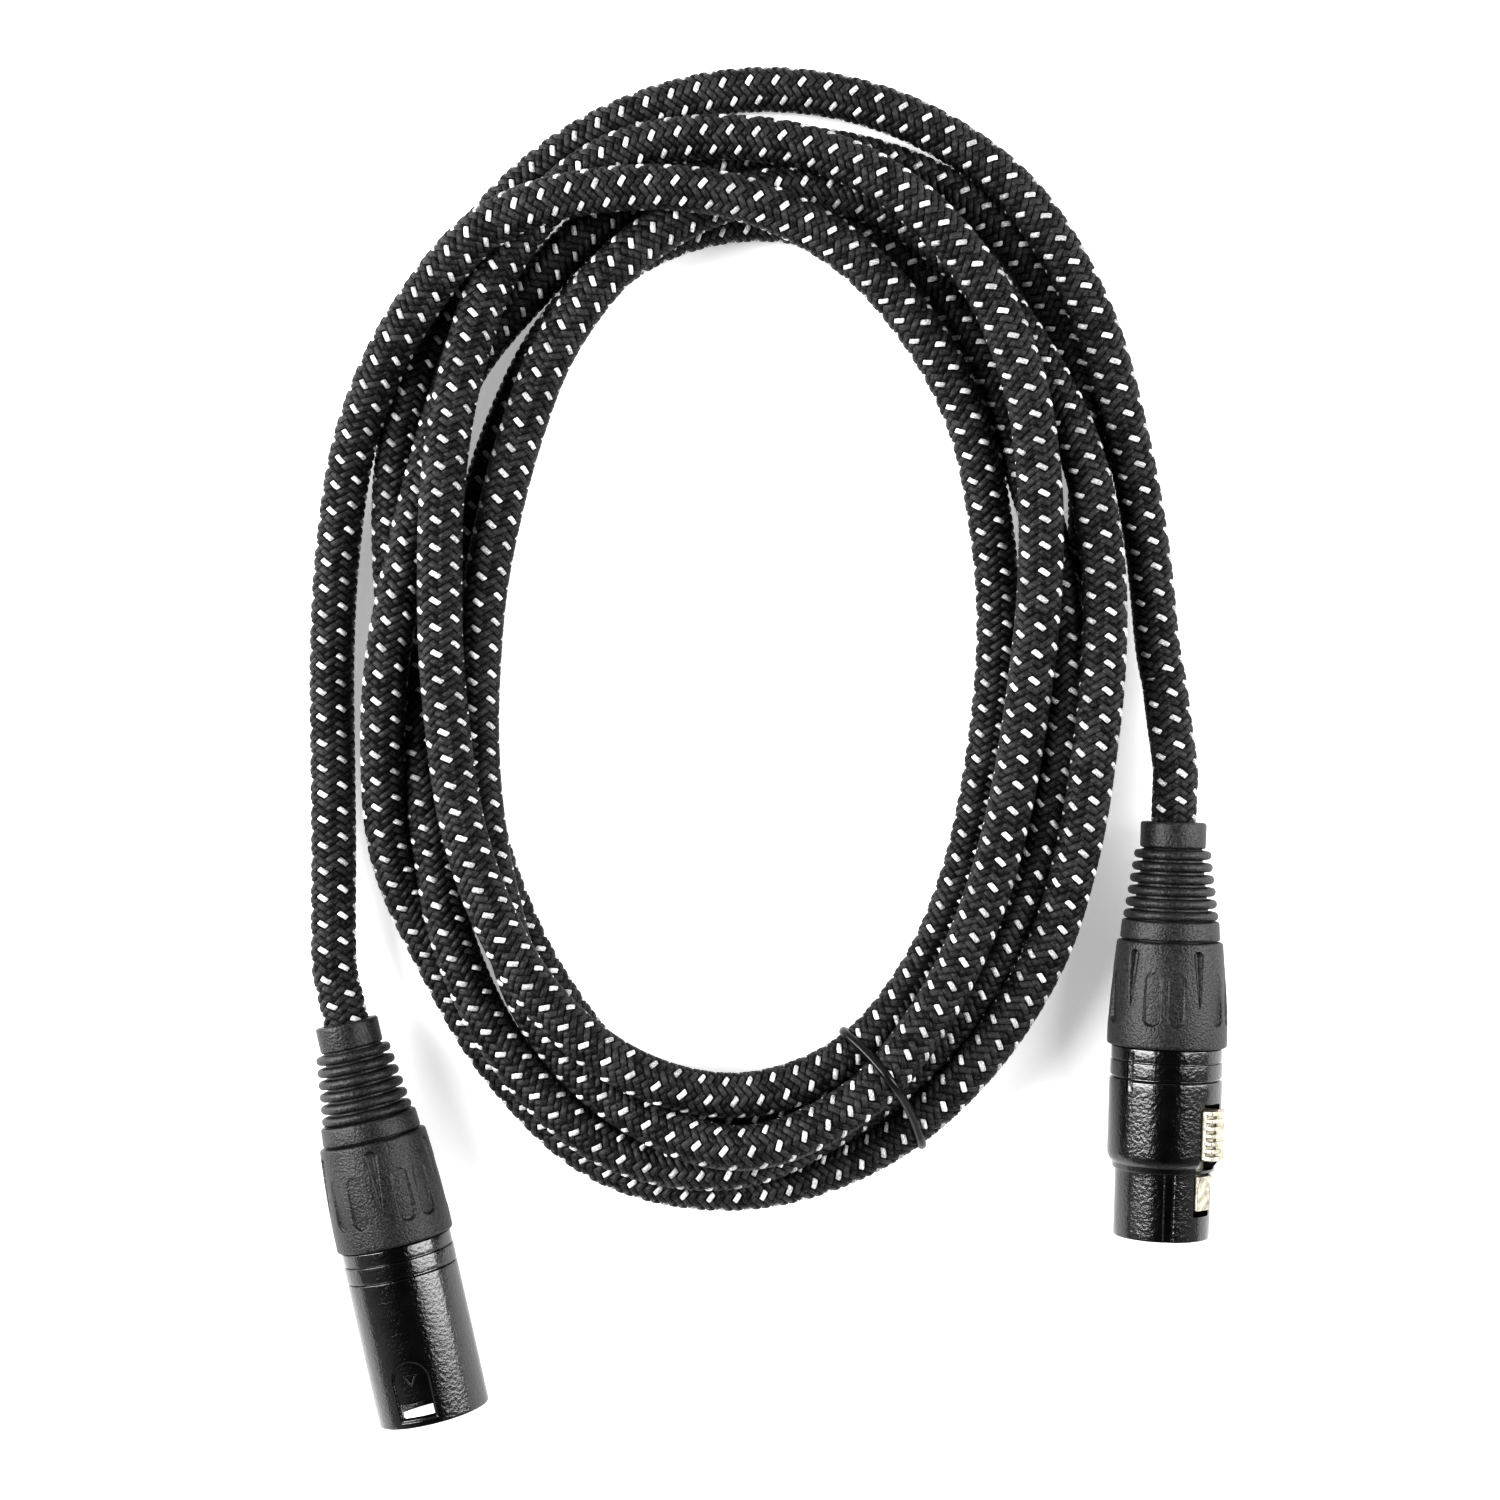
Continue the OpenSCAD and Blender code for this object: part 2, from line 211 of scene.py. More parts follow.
def meetings(line, turn):
    """(upper point, lower point, height between them) where turns meet."""
    xy = line[:, :2]
    apart = np.sqrt(((xy[:, None] - xy[None]) ** 2).sum(-1))
    order = np.arange(len(line))
    near = (apart < TOUCH_D) & (np.abs(order[:, None] - order[None]) * STEP > NEIGHBOUR_LENGTH)
    found = []
    for a in range(len(line)):
        others = np.nonzero(near[a])[0]
        if not len(others):
            continue
        for group in np.split(others, np.nonzero(np.diff(others) > 3)[0] + 1):
            b = group[np.argmin(apart[a, group])]
            base = min(turn[a], turn[b])
            low = int(math.floor(base))
            high = low + int(round(abs(turn[a] - turn[b])))
            angle = (FIRST_ANGLE - 360 * (base - low)) % 360
            low = max(low, 0)
            a_is_upper = (upper_turn(low, high, angle) == low) == (turn[a] < turn[b])
            if a_is_upper:
                found.append((a, b, math.sqrt(TOUCH_D**2 - apart[a, b] ** 2)))
    return found


def laid_route():
    """The cable's line lying on the floor and on itself."""
    line = flat_route()
    turn = turn_numbers(line)
    count = len(line)
    order = np.arange(count)
    found = meetings(line, turn)
    upper = np.array([m[0] for m in found])
    lower = np.array([m[1] for m in found])
    rise = np.array([m[2] for m in found])
    held = (order * STEP < HELD_MALE) | ((count - 1 - order) * STEP < HELD_FEMALE)
    from_tie = np.hypot(line[:, 0] - TIE_CENTRE[0], line[:, 1] - TIE_CENTRE[1])
    floor = np.where(from_tie < TIE_LIFT_REACH, CABLE_R + TIE_LIFT, CABLE_R)
    weight = SINK + TIE_SINK * np.exp(-((from_tie / TIE_SINK_REACH) ** 2))
    height = line[:, 2].copy()
    for _ in range(SETTLE_ROUNDS):
        least = floor.copy()
        np.maximum.at(least, upper, height[lower] + rise)
        height = np.maximum(least, softened(height, SETTLE_WIDTH) - weight)
        height[held] = line[held, 2]
    for _ in range(LAST_ROUNDS):
        height = np.where(held, line[:, 2], softened(height, LAST_WIDTH))
    line[:, 2] = height
    # The turns' radii are for mid height, so a higher one leans in.
    lean = np.where(held, 1, (VIEW_HEIGHT - height) / (VIEW_HEIGHT - MEAN_H))
    fade = softened(lean, LEAN_WIDTH)
    line[:, :2] = np.array(VIEW_POINT) + (line[:, :2] - VIEW_POINT) * fade[:, None]
    for k in range(3):
        line[:, k] = np.where(held, line[:, k], softened(line[:, k], LINE_WIDTH))
    return evenly(line, ROUTE_STEP)


ROUTE = laid_route()

# ---------------------------------------------------------------- mesh tools


def add_mesh(name, points, faces, material_index=None, uvs=None, tones=None):
    """A mesh object from points in mm, with optional data for each face or point."""
    mesh = bpy.data.meshes.new(name)
    points = np.asarray(points, np.float32) * MM
    faces = np.asarray(faces, np.int32)
    sides = faces.shape[1]
    mesh.vertices.add(len(points))
    mesh.vertices.foreach_set("co", points.ravel())
    mesh.loops.add(faces.size)
    mesh.loops.foreach_set("vertex_index", faces.ravel())
    mesh.polygons.add(len(faces))
    mesh.polygons.foreach_set("loop_start", np.arange(0, faces.size, sides, dtype=np.int32))
    if material_index is not None:
        mesh.polygons.foreach_set("material_index", np.asarray(material_index, np.int32))
    mesh.update(calc_edges=True)
    if uvs is not None:
        layer = mesh.uv_layers.new(name="UVMap")
        layer.data.foreach_set("uv", np.asarray(uvs, np.float32)[faces.ravel()].ravel())
    if tones is not None:
        layer = mesh.attributes.new("tone", "FLOAT", "POINT")
        layer.data.foreach_set("value", np.asarray(tones, np.float32))
    mesh.polygons.foreach_set("use_smooth", np.full(len(faces), True))
    mesh.validate()
    made = bpy.data.objects.new(name, mesh)
    bpy.context.scene.collection.objects.link(made)
    return made


def ring_faces(rows, sides, closed=True):
    """Quads between rings of points, and from the last to the first if closed."""
    i, k = np.meshgrid(np.arange(rows if closed else rows - 1), np.arange(sides), indexing="ij")
    i2 = (i + 1) % rows
    k2 = (k + 1) % sides
    corners = [i * sides + k, i * sides + k2, i2 * sides + k2, i2 * sides + k]
    return np.stack(corners, -1).reshape(-1, 4)


def carried_frames(line):
    """Unit tangent, side and up along a line, without twist."""
    tangent = np.gradient(line, axis=0)
    tangent /= np.linalg.norm(tangent, axis=1)[:, None]
    side = np.zeros_like(line)
    first = np.cross(tangent[0], (0, 0, 1))
    side[0] = first / np.linalg.norm(first)
    for i in range(1, len(line)):
        s = side[i - 1] - tangent[i] * (side[i - 1] @ tangent[i])
        side[i] = s / np.linalg.norm(s)
    return tangent, side, np.cross(tangent, side)


# ---------------------------------------------------------------- braid

# A float is the stretch of one yarn that shows between two crossings. Each
# hand, the way its yarns wind round, has YARNS yarns and COLUMNS of floats.
BRAID_PITCH = 17.8
YARNS = 12
COLUMNS = 6
FIRST_COLUMN = {-1: 7.5, 1: 37.5}
WHITE_EVERY = 3
CORE_R = 3.46
CORE_SIDES = 20
CORE_STEP = 2
# Radii of a float's middle, its ends and the surface its sizes are measured on.
FLOAT_TOP = 3.86
FLOAT_ENDS = 3.36
FLOAT_R = 3.75
# Sizes of a black float and a white one.
FLOAT_HALF_LENGTH = (1.3, 1.08)
FLOAT_HALF_WIDTH = (0.53, 0.46)
# Angle from the cable's length for hand -1 and hand 1.
FLOAT_TILT = (61.0, 56.0)
# How far a float's two ends are sheared along it, for each mm of its width.
FLOAT_SLANT = 0.45
TONE_SEED = 7


def braid_floats(length):
    """Centres of the braid's floats: distance along, angle round, hand, yarn."""
    rows = []
    for hand in (-1, 1):
        for m in range(COLUMNS):
            angle = FIRST_COLUMN[hand] + 360 / COLUMNS * m
            for yarn in range(YARNS):
                # Where this yarn stands at this angle: its start angle and hand.
                turn = (angle - 360 / YARNS * yarn) * hand / 360 % 1
                first = turn * BRAID_PITCH
                along = np.arange(first, length, BRAID_PITCH)
                for s in along:
                    rows.append((s, angle, hand, yarn))
    return np.array(rows)


def cable_object(line):
    """The cable: a dark core with every visible float of its braid on it."""
    along = np.concatenate([[0], np.cumsum(np.linalg.norm(np.diff(line, axis=0), axis=1))])
    tangent, side, up = carried_frames(line)

    def on_cable(s, angle, radius):
        """Points at a distance along, angle round and radius."""
        shape = s.shape
        s, angle, radius = s.ravel(), np.radians(angle.ravel()), radius.ravel()
        at = [np.interp(s, along, line[:, k]) for k in range(3)]
        sides = np.column_stack([np.interp(s, along, side[:, k]) for k in range(3)])
        ups = np.column_stack([np.interp(s, along, up[:, k]) for k in range(3)])
        outward = np.cos(angle)[:, None] * sides + np.sin(angle)[:, None] * ups
        return (np.column_stack(at) + radius[:, None] * outward).reshape(*shape, 3)

    # Core.
    stations = np.linspace(0, along[-1], int(along[-1] / CORE_STEP) + 1)
    angles = np.arange(CORE_SIDES) * 360 / CORE_SIDES
    s, a = np.meshgrid(stations, angles, indexing="ij")
    core = on_cable(s, a, np.full(s.shape, CORE_R)).reshape(-1, 3)
    core_faces = ring_faces(len(stations), CORE_SIDES, closed=False)

    # Floats, each a small grid: u runs along it and v across it.
    u_rows = np.array([-1, -0.72, 0, 0.72, 1])
    v_rows = np.array([-1, -0.45, 0.45, 1])
    rise_u = np.array([0, 0.92, 1, 0.92, 0])
    rise_v = np.array([0.35, 1, 1, 0.35])
    width_u = np.array([0.9, 1.0, 1.0, 1.0, 0.9])
    rows = braid_floats(along[-1])
    degrees_per_mm = np.degrees(1 / FLOAT_R)
    u, v = np.meshgrid(u_rows, v_rows, indexing="ij")
    rise = np.outer(rise_u, rise_v)
    hand = rows[:, 2][:, None, None]
    white = (rows[:, 2] < 0) & (rows[:, 3] % WHITE_EVERY == 0)
    half_long = np.where(white, FLOAT_HALF_LENGTH[1], FLOAT_HALF_LENGTH[0])[:, None, None]
    half_wide = np.where(white, FLOAT_HALF_WIDTH[1], FLOAT_HALF_WIDTH[0])[:, None, None]
    tilt = np.radians(np.where(hand < 0, FLOAT_TILT[0], FLOAT_TILT[1]))
    step_wide = half_wide * v * width_u[:, None]
    step_long = half_long * u + FLOAT_SLANT * step_wide
    s = rows[:, 0][:, None, None] + step_long * np.cos(tilt) - step_wide * np.sin(tilt)
    round_mm = step_long * np.sin(tilt) + step_wide * np.cos(tilt)
    a = rows[:, 1][:, None, None] + hand * degrees_per_mm * round_mm
    radius = FLOAT_ENDS + (FLOAT_TOP - FLOAT_ENDS) * rise + 0 * s
    s = np.clip(s, 0, along[-1])
    floats = on_cable(s, a, radius).reshape(-1, 3)
    per = u.size
    nu, nv = u.shape
    iu, iv = np.meshgrid(np.arange(nu - 1), np.arange(nv - 1), indexing="ij")
    quad = np.stack([iu * nv + iv, (iu + 1) * nv + iv, (iu + 1) * nv + iv + 1, iu * nv + iv + 1],
                    -1).reshape(-1, 4)
    # The other hand's floats are wound the other way round.
    offsets = np.arange(len(rows)) * per + len(core)
    quads = np.where((rows[:, 2] > 0)[:, None, None], quad[None], quad[None, :, ::-1])
    float_faces = (quads + offsets[:, None, None]).reshape(-1, 4)
    slots = np.concatenate([np.zeros(len(core_faces)), np.repeat(np.where(white, 2, 1), len(quad))])
    uv_core = np.zeros((len(core), 2))
    uv_float = np.stack([half_long * u + 0 * s, np.broadcast_to(v, s.shape)], -1)
    tone = np.repeat(np.random.default_rng(TONE_SEED).random(len(rows)), per)
    points = np.concatenate([core, floats])
    return add_mesh("cable", points, np.concatenate([core_faces, float_faces]), slots,
                    np.concatenate([uv_core, uv_float.reshape(-1, 2)]),
                    np.concatenate([np.zeros(len(core)), tone]))


# ---------------------------------------------------------------- materials


def grey(value):
    """A colour with equal parts."""
    return (value, value, value)


class Nodes:
    """A material's node tree, with short ways to add to it."""

    def __init__(self, name):
        self.material = bpy.data.materials.new(name)
        self.material.use_nodes = True
        self.tree = self.material.node_tree
        self.shader = self.tree.nodes["Principled BSDF"]

    def add(self, kind, **settings):
        node = self.tree.nodes.new(kind)
        for key, value in settings.items():
            setattr(node, key, value)
        return node

    def link(self, output, target):
        self.tree.links.new(output, target)

    def math(self, operation, a, b=0.0):
        node = self.add("ShaderNodeMath", operation=operation)
        for value, socket in zip((a, b), node.inputs):
            if isinstance(value, (int, float)):
                socket.default_value = value
            else:
                self.link(value, socket)
        return node.outputs[0]

    def place(self):
        return self.add("ShaderNodeTexCoord").outputs["Object"]

    def noise(self, scale, detail=3.0, vector=None):
        node = self.add("ShaderNodeTexNoise")
        node.inputs["Scale"].default_value = scale
        node.inputs["Detail"].default_value = detail
        self.link(vector or self.place(), node.inputs["Vector"])
        return node.outputs["Fac"]

    def ramp(self, value, stops):
        """A colour ramp, stops as (place, (r, g, b))."""
        node = self.add("ShaderNodeValToRGB")
        elements = node.color_ramp.elements
        while len(elements) < len(stops):
            elements.new(0.5)
        for element, (at, colour) in zip(elements, stops):
            element.position = at
            element.color = (*colour, 1)
        self.link(value, node.inputs["Fac"])
        return node.outputs["Color"]

    def levels(self, value, low, high):
        """Value from 0..1 mapped to low..high."""
        node = self.add("ShaderNodeMapRange")
        node.inputs["To Min"].default_value = low
        node.inputs["To Max"].default_value = high
        self.link(value, node.inputs["Value"])
        return node.outputs["Result"]

    def bump(self, height, strength, distance_mm):
        node = self.add("ShaderNodeBump")
        node.inputs["Strength"].default_value = strength
        node.inputs["Distance"].default_value = distance_mm * MM
        self.link(height, node.inputs["Height"])
        self.link(node.outputs["Normal"], self.shader.inputs["Normal"])

    def colour(self, source):
        self.link(source, self.shader.inputs["Base Color"])

    def rough(self, source):
        self.link(source, self.shader.inputs["Roughness"])


def yarn_material(name, dark, light, rough, sheen, shine):
    """Flat yarn of many filaments, its tone a little different in each float.

    The filaments are noise drawn out along the float, and a float's tone also
    moves it to a place of its own in the noise.
    """
    n = Nodes(name)
    uv = n.add("ShaderNodeUVMap", uv_map="UVMap").outputs["UV"]
    tone = n.add("ShaderNodeAttribute", attribute_name="tone").outputs["Fac"]
    split = n.add("ShaderNodeSeparateXYZ")
    n.link(uv, split.inputs[0])
    where = n.add("ShaderNodeCombineXYZ")
    n.link(n.math("MULTIPLY", split.outputs["X"], 0.35), where.inputs["X"])
    n.link(n.math("ADD", split.outputs["Y"], n.math("MULTIPLY", tone, 50.0)), where.inputs["Y"])
    strands = n.noise(5.5, 1.0, where.outputs[0])
    mixed = n.math("ADD", n.math("MULTIPLY", strands, 0.85), n.math("MULTIPLY", tone, 0.2))
    n.colour(n.ramp(mixed, [(0.44, dark), (0.62, light)]))
    n.rough(n.levels(strands, rough - 0.08, rough + 0.1))
    n.shader.inputs["Sheen Weight"].default_value = sheen
    n.shader.inputs["Sheen Roughness"].default_value = 0.4
    n.shader.inputs["Specular IOR Level"].default_value = shine
    n.bump(strands, 0.9, 0.11)
    return n.material


def core_material():
    """The dark cable under the floats."""
    n = Nodes("braid_core")
    speck = n.noise(900.0)
    n.colour(n.ramp(speck, [(0.3, grey(0.001)), (0.7, grey(0.005))]))
    n.shader.inputs["Specular IOR Level"].default_value = 0.15
    n.rough(n.levels(speck, 0.7, 0.9))
    return n.material


# ---------------------------------------------------------------- plug tools

# Lengths along a plug start at the cable's entry.
SHELL_START = 38.0
NECK_R = 8.0
NECK_LEN = 8
NECK_GAP = 0.08
SLEEVE_START = 20.15
SLEEVE_END = 37.85
MALE_LEN = 68.0
FEMALE_LEN = 70.2
# Clock angles about a plug's axis: the male window, the latch and the seam.
MALE_ROLL = 8.0
LATCH_ANGLE = -48.0
SEAM_ANGLE = 47
BEVEL_STEPS = 3
MERGE_MM = 0.0001


def plug_matrix(entry, heading):
    """From a plug's own frame in mm to the scene's in mm."""
    turn = Matrix.Rotation(math.radians(heading + 180), 4, "Z")
    lay = Matrix.Rotation(math.radians(-90), 4, "Y")
    return Matrix.Translation((entry[0], entry[1], AXIS_H)) @ turn @ lay


MALE = plug_matrix(MALE_ENTRY, MALE_HEADING)
FEMALE = plug_matrix(FEMALE_ENTRY, FEMALE_HEADING)


def placed(points, matrix):
    """Points of a plug's own frame, in the scene's."""
    m = np.array(matrix)
    return np.asarray(points, float) @ m[:3, :3].T + m[:3, 3]


def rounded(corners, steps=5):
    """A profile from (r, z, fillet) corners."""
    out = []
    for i, (r, z, fillet) in enumerate(corners):
        here = np.array((r, z), float)
        if fillet <= 0 or i in (0, len(corners) - 1):
            out.append(here)
            continue
        back = np.array(corners[i - 1][:2], float) - here
        ahead = np.array(corners[i + 1][:2], float) - here
        a = here + back * min(fillet / np.linalg.norm(back), 0.5)
        b = here + ahead * min(fillet / np.linalg.norm(ahead), 0.5)
        for k in range(steps + 1):
            t = k / steps
            out.append((1 - t) ** 2 * a + 2 * t * (1 - t) * here + t * t * b)
    return np.array(out)


def refined(profile, longest):
    """The same profile with no step longer than that."""
    out = [profile[0]]
    for a, b in zip(profile[:-1], profile[1:]):
        pieces = max(1, int(math.ceil(np.linalg.norm(b - a) / longest)))
        for k in range(1, pieces + 1):
            out.append(a + (b - a) * k / pieces)
    return np.array(out)


def smoothstep(low, high, x):
    """0 below low, 1 above high, and a smooth rise between them."""
    t = np.clip((x - low) / (high - low), 0, 1)
    return t * t * (3 - 2 * t)


def angle_off(angle, centre):
    """Signed degrees from centre, between -180 and 180."""
    return (angle - centre + 180) % 360 - 180


def turned(name, profile, angle, matrix, shape, sharp=35):
    """A closed ring-shaped piece: the profile (r, z) at each of the angles."""
    r, a = np.meshgrid(profile[:, 0], angle, indexing="ij")
    z = np.broadcast_to(profile[:, 1][:, None], r.shape)
    if shape is not None:
        r = r + shape(a, r, z)
    t = np.radians(a)
    points = np.stack([r * np.cos(t), r * np.sin(t), z], -1).reshape(-1, 3)
    made = add_mesh(name, placed(points, matrix), ring_faces(len(profile), len(angle)))
    tidy_mesh(made, sharp)
    return made


def lathe(name, profile, matrix, sides, shape=None, sharp=35):
    """The profile turned about the axis in even steps."""
    angle = np.arange(sides) * 360 / sides
    return turned(name, np.asarray(profile, float), angle, matrix, shape, sharp)


def turn_outwards(mesh):
    """Face normals made consistent, and turned so that they point outwards."""
    bmesh.ops.recalc_face_normals(mesh, faces=mesh.faces)
    if mesh.calc_volume(signed=True) < 0:
        bmesh.ops.reverse_faces(mesh, faces=mesh.faces)


def tidy_mesh(piece, sharp=35):
    """Faces turned outwards, and edges over that angle left sharp."""
    mesh = bmesh.new()
    mesh.from_mesh(piece.data)
    bmesh.ops.remove_doubles(mesh, verts=mesh.verts, dist=MERGE_MM * MM)
    turn_outwards(mesh)
    for edge in mesh.edges:
        if len(edge.link_faces) == 2 and edge.calc_face_angle(0) > math.radians(sharp):
            edge.smooth = False
    for face in mesh.faces:
        face.smooth = True
    mesh.to_mesh(piece.data)
    mesh.free()


def cut_away(piece, cutters):
    """Takes the cutters' volume out of a piece and removes them."""
    for cutter in cutters:
        change = piece.modifiers.new("cut", "BOOLEAN")
        change.operation = "DIFFERENCE"
        change.solver = "EXACT"
        change.object = cutter
        apply_modifiers(piece)
        bpy.data.objects.remove(cutter)
    tidy_mesh(piece)


def apply_modifiers(piece):
    """The piece's mesh replaced by what its modifiers make of it."""
    bpy.context.view_layer.update()
    graph = bpy.context.evaluated_depsgraph_get()
    mesh = bpy.data.meshes.new_from_object(piece.evaluated_get(graph), depsgraph=graph)
    piece.modifiers.clear()
    old = piece.data
    piece.data = mesh
    bpy.data.meshes.remove(old)


def block(name, low, high, matrix, bevel=0.0, taper=None):
    """A box between two corners in mm, its edges rounded by bevel."""
    mesh = bmesh.new()
    low, high = Vector(low), Vector(high)
    bmesh.ops.create_cube(mesh, size=1)
    for v in mesh.verts:
        v.co = Vector([(low[k] + high[k]) / 2 + v.co[k] * (high[k] - low[k]) for k in range(3)])
        if taper is not None:
            v.co = taper(v.co)
    if bevel > 0:
        bmesh.ops.bevel(mesh, geom=list(mesh.edges), offset=bevel, segments=BEVEL_STEPS,
                        profile=0.5, affect="EDGES", clamp_overlap=True)
    for v in mesh.verts:
        v.co = (matrix @ v.co) * MM
    turn_outwards(mesh)
    data = bpy.data.meshes.new(name)
    mesh.to_mesh(data)
    mesh.free()
    made = bpy.data.objects.new(name, data)
    bpy.context.scene.collection.objects.link(made)
    return made


def joined(name, parts):
    """Several mesh objects as one."""
    mesh = bmesh.new()
    for part in parts:
        mesh.from_mesh(part.data)
    data = bpy.data.meshes.new(name)
    mesh.to_mesh(data)
    mesh.free()
    for part in parts:
        bpy.data.objects.remove(part)
    made = bpy.data.objects.new(name, data)
    bpy.context.scene.collection.objects.link(made)
    return made


def finish_piece(piece, material, body, node):
    """One material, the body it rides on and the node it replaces."""
    piece.data.materials.clear()
    piece.data.materials.append(material)
    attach(piece, body)
    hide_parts(node)


# ---------------------------------------------------------------- boots

BOOT_BORE_R = 3.9
BELLOWS = 6
BELLOWS_START = 5.5
BELLOWS_PITCH = 2.05
# Each ring is a round bulge between two grooves.
BULGE_OUT = 0.74
BULGE_HALF = 0.72
BULGE_STEPS = 12
BULGE_SWEEP = 200
LIP_IN = 0.9
GROOVE_IN = 1.4
BOOT_NECK_R = 6.9
BOOT_INNER_R = 4.9
END_WALL = 1.6
COLLAR_START = 16.66
COLLAR_END = 19.85
BOOT_END = 22.6


def boot(name, matrix, collar_r, first_r, last_r, lower_r):
    """Bellows boot: end collar, six rings that grow, and a lower collar."""
    outer = list(rounded([(BOOT_BORE_R, 0, 0), (collar_r, 0, 0.5), (collar_r - 0.02, 4.3, 0.35),
                          (collar_r - 0.65, 4.45, 0.15), (collar_r - 0.65, 4.62, 0)]))
    for i in range(BELLOWS):
        ring_r = first_r + (last_r - first_r) * i / (BELLOWS - 1)
        z = BELLOWS_START + BELLOWS_PITCH * i
        for k in range(BULGE_STEPS + 1):
            a = math.radians(-BULGE_SWEEP / 2 + BULGE_SWEEP * k / BULGE_STEPS)
            r = ring_r - LIP_IN
            if math.cos(a) > 0:
                r = ring_r - BULGE_OUT + BULGE_OUT * math.cos(a) ** 0.8
            outer.append(np.array((r, z + BULGE_HALF * math.sin(a))))
        if i < BELLOWS - 1:
            outer.append(np.array((ring_r - GROOVE_IN - 0.05, z + 0.86)))
            outer.append(np.array((ring_r - GROOVE_IN, z + 1.2)))
    outer += list(rounded([(last_r - GROOVE_IN, 16.5, 0), (last_r - GROOVE_IN, COLLAR_START, 0.05),
                           (lower_r - 0.25, COLLAR_START, 0.45), (lower_r, COLLAR_END, 0.4),
                           (BOOT_NECK_R, COLLAR_END, 0), (BOOT_NECK_R, BOOT_END, 0.2),
                           (BOOT_INNER_R, BOOT_END, 0.2), (BOOT_INNER_R, END_WALL, 0),
                           (BOOT_BORE_R, END_WALL, 0.2)]))
    return lathe(name, outer, matrix, sides=144, sharp=50)


# ---------------------------------------------------------------- sleeves


# Grooves and slots stand round a sleeve by turns: one groove, then two slots.
FEATURES = 15
# Start and end from the sleeve's start, and half the width.
GROOVE = (1.3, 10.8, 1.2)
GROOVE_DEPTH = 0.85
SLOT = (4.9, 13.9, 1.4)
SLEEVE_BORE_R = 7.0
SLEEVE_SIDES = 450


def sleeve(name, matrix, small_r, wide_r, roll):
    """Screw sleeve with five groups of one long groove and two slots."""
    z0 = SLEEVE_START
    z1 = SLEEVE_END
    middle = (small_r + wide_r) / 2 + 0.22
    outer = refined(rounded([(SLEEVE_BORE_R, z0, 0), (small_r, z0, 0.45),
                             (middle, (z0 + z1) / 2 - 0.6, 6.0),
                             (wide_r, z1 - 3.6, 2.5), (wide_r - 0.02, z1, 0.5),
                             (NECK_R + NECK_GAP, z1, 0)], 8), 0.16)
    inner = rounded([(NECK_R + NECK_GAP, z1, 0), (NECK_R + NECK_GAP, z1 - 8.6, 0.1),
                     (SLEEVE_BORE_R, z1 - 9.4, 0.1), (SLEEVE_BORE_R, z0, 0)])[1:-1]

    def shape(angle, r, z):
        across_r = 9.4
        dent = np.zeros(angle.shape)
        outside = r > small_r - 0.6
        for feature in range(FEATURES):
            centre = roll + 360 / FEATURES * feature
            x = np.radians(angle_off(angle, centre)) * across_r
            if feature % 3 == 0:
                start, end = z0 + GROOVE[0], z0 + GROOVE[1]
                t = np.clip((z - start) / (end - start), 0, 1)
                half = GROOVE[2] * (1 - t) ** 0.8 + 0.02
                top = np.clip((start + 1.0 - z) / 1.0, 0, 1)
                half = half * np.sqrt(np.clip(1 - top**2, 0, 1)) + 1e-6
                inside = (z > start) & (z < end)
                v = np.clip(1 - np.abs(x) / half, 0, 1)
                dent += np.where(inside, GROOVE_DEPTH * (1 - 0.75 * t) * smoothstep(0, 0.9, v), 0)
            else:
                start, end = z0 + SLOT[0], z0 + SLOT[1]
                half = SLOT[2]
                zc = np.clip(z, start + half, end - half)
                away = np.hypot(x, z - zc) - half
                t = np.clip((z - start) / (end - start), 0, 1)
                dent += (0.08 + 0.5 * t) * smoothstep(0.06, -0.26, away)
        return np.where(outside, -dent, 0)

    return lathe(name, np.concatenate([outer, inner]), matrix, SLEEVE_SIDES, shape, sharp=60)


# ---------------------------------------------------------------- shells


def shell_ring_profile(r):
    """The turned rings behind a barrel, with two fine grooves."""
    z = SHELL_START
    return [(r - 0.1, z, 0.25), (r - 0.1, z + 2.15, 0.12),
            (r - 0.55, z + 2.2, 0.05), (r - 0.55, z + 2.4, 0.05),
            (r, z + 2.45, 0.12), (r, z + 4.95, 0.12),
            (r - 0.5, z + 5.0, 0.05), (r - 0.5, z + 5.3, 0.05)]


MALE_BARREL_R = 9.45
MALE_CAVITY_R = 8.2
WINDOW_W = 6.2
WINDOW_START = 63.9
ARCH_LEN = 3.7
WINDOW_LEN = 2.5
CAVITY_FLOOR = 50.0
MALE_BORE_R = 7.2
# The recess round the window, and the raised triangle in it.
RECESS_DEPTH = 0.3
RECESS_EXTRA = 0.15
MARK_HALF_WIDTH = 1.1
MARK_HALF_LENGTH = 0.9
MARK_SLOPE = 0.55
MARK_HEIGHT = 0.1
# Near the window's clock angle the shell's sides and rows lie closer together.
FINE_HALF = 28
FINE_STEP = 0.5
COARSE_STEP = 3
FINE_ROW = 0.11
FINE_REACH = 8


